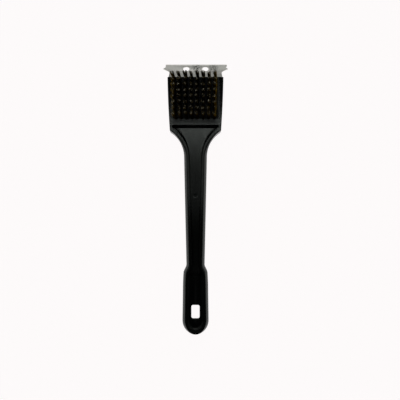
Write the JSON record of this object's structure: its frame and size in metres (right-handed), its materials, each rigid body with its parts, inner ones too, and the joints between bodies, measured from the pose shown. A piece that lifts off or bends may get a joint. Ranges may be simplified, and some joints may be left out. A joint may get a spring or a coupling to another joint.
{
  "type": "grill cleaning brush",
  "caption": "Long-handled grill brush with a moulded head, dense brass wire tufts, a bent steel scraper at the front and a hanging hole in the grip.",
  "frame": {"origin": "middle of the bounding box at its lowest level, which is the flat back of the head that the brush lies on", "axes": "+Y from the grip to the scraper, +Z out of the head's face along the bristles, +X to the right when the bristles face the viewer and the scraper is up"},
  "size_m": [0.0728, 0.305, 0.0415],
  "materials": {
    "black_plastic": "satin moulded polypropylene, finely textured",
    "scraper_steel": "stamped stainless sheet, lightly scuffed",
    "screw_steel": "zinc plated",
    "brass_wire": "crimped wire, dark with bright cut tips"
  },
  "bodies": {
    "root": {"brush_body": "black_plastic", "scraper_blade": "scraper_steel", "scraper_screw_left": "screw_steel", "scraper_screw_right": "screw_steel", "tufts_rows_1_2_column_1": "brass_wire", "tufts_rows_1_2_column_2": "brass_wire", "tufts_rows_1_2_column_3": "brass_wire", "tufts_rows_1_2_column_4": "brass_wire", "tufts_rows_1_2_column_5": "brass_wire", "tufts_rows_1_2_column_6": "brass_wire", "tufts_rows_1_2_column_7": "brass_wire", "tufts_rows_1_2_column_8": "brass_wire", "tufts_rows_3_4_column_1": "brass_wire", "tufts_rows_3_4_column_2": "brass_wire", "tufts_rows_3_4_column_3": "brass_wire", "tufts_rows_3_4_column_4": "brass_wire", "tufts_rows_3_4_column_5": "brass_wire", "tufts_rows_3_4_column_6": "brass_wire", "tufts_rows_3_4_column_7": "brass_wire", "tufts_rows_3_4_column_8": "brass_wire", "tufts_rows_5_6_column_1": "brass_wire", "tufts_rows_5_6_column_2": "brass_wire", "tufts_rows_5_6_column_3": "brass_wire", "tufts_rows_5_6_column_4": "brass_wire", "tufts_rows_5_6_column_5": "brass_wire", "tufts_rows_5_6_column_6": "brass_wire", "tufts_rows_5_6_column_7": "brass_wire", "tufts_rows_5_6_column_8": "brass_wire", "tufts_rows_7_8_column_1": "brass_wire", "tufts_rows_7_8_column_2": "brass_wire", "tufts_rows_7_8_column_3": "brass_wire", "tufts_rows_7_8_column_4": "brass_wire", "tufts_rows_7_8_column_5": "brass_wire", "tufts_rows_7_8_column_6": "brass_wire", "tufts_rows_7_8_column_7": "brass_wire", "tufts_rows_7_8_column_8": "brass_wire"}
  },
  "joints": []
}
